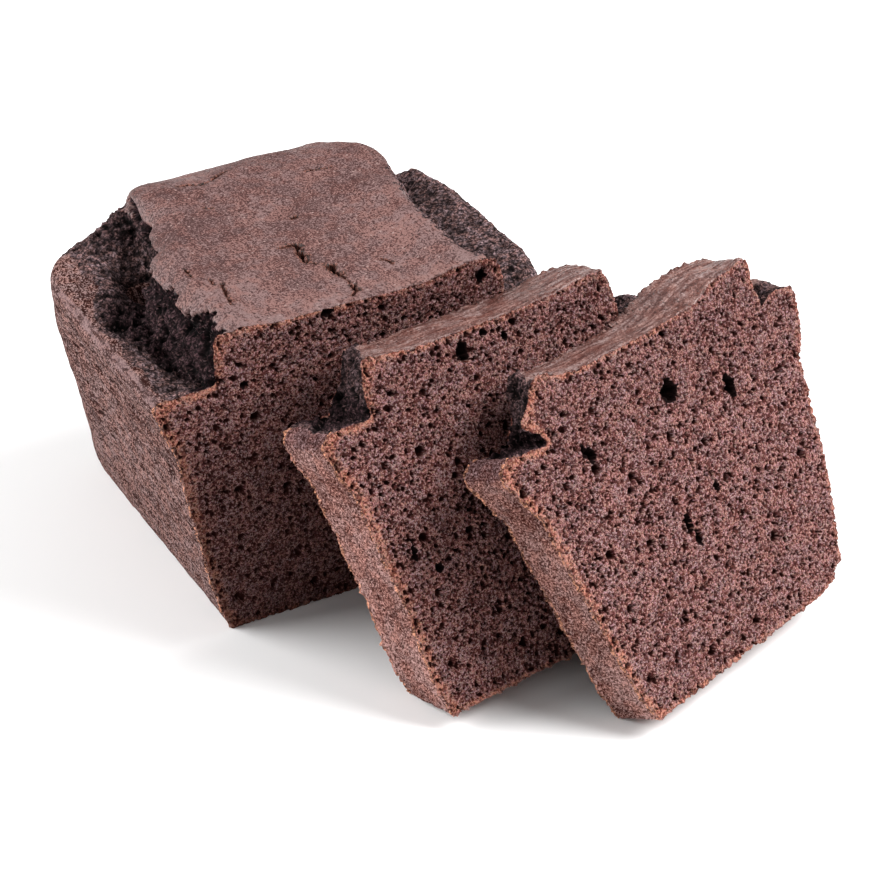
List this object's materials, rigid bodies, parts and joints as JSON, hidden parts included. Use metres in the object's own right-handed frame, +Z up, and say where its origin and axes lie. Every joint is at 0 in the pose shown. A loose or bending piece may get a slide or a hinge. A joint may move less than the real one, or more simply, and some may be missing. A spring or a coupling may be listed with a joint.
{
  "type": "gingerbread cake",
  "caption": "Dark gingerbread loaf cake, cut at one end, with cut slices that lean back on its cut face; the plateau of its crust has torn away from a low lip along both sides.",
  "frame": {"origin": "on the ground, in the middle of the whole object's box", "axes": "+Z up; +Y from the loaf's cut face towards its far end; +X across the loaf, towards the side on which the slices step out"},
  "size_m": [0.1538, 0.1638, 0.0837],
  "materials": {
    "crumb": "dry, open-pored dark brown cake crumb; the crust is finer, smoother and slightly satin"
  },
  "bodies": {
    "root": {"loaf": "crumb", "slice_inner": "crumb", "slice_outer": "crumb"}
  },
  "joints": []
}
